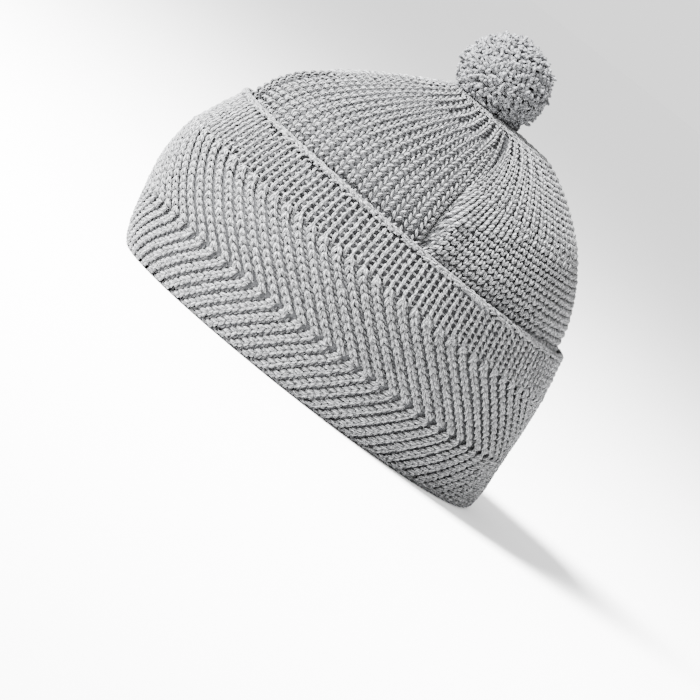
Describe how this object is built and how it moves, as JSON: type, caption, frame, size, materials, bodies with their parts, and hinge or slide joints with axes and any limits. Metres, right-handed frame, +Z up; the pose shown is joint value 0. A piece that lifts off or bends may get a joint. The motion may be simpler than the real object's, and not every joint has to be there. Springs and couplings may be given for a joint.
{
  "type": "knitted beanie cap with turned-up cuff and pompom",
  "caption": "Knitted beanie with a deep turned-up cuff in zigzag rib, a ribbed dome gathered at the top and a yarn pompom; worn on the head for warmth.",
  "frame": {"origin": "on the floor under the middle of the cap's outline, in the plane of the rim", "axes": "+Z up from the rim to the pompom, -Y to the front of the cap, +X to its left side"},
  "size_m": [0.1772, 0.2148, 0.1872],
  "materials": {
    "heather_yarn": "matt plied yarn in light heather grey, knitted",
    "pompom_yarn": "matt cut ends of heather grey yarn"
  },
  "bodies": {
    "root": {"cuff": "heather_yarn", "crown": "heather_yarn", "pompom": "pompom_yarn"}
  },
  "joints": []
}
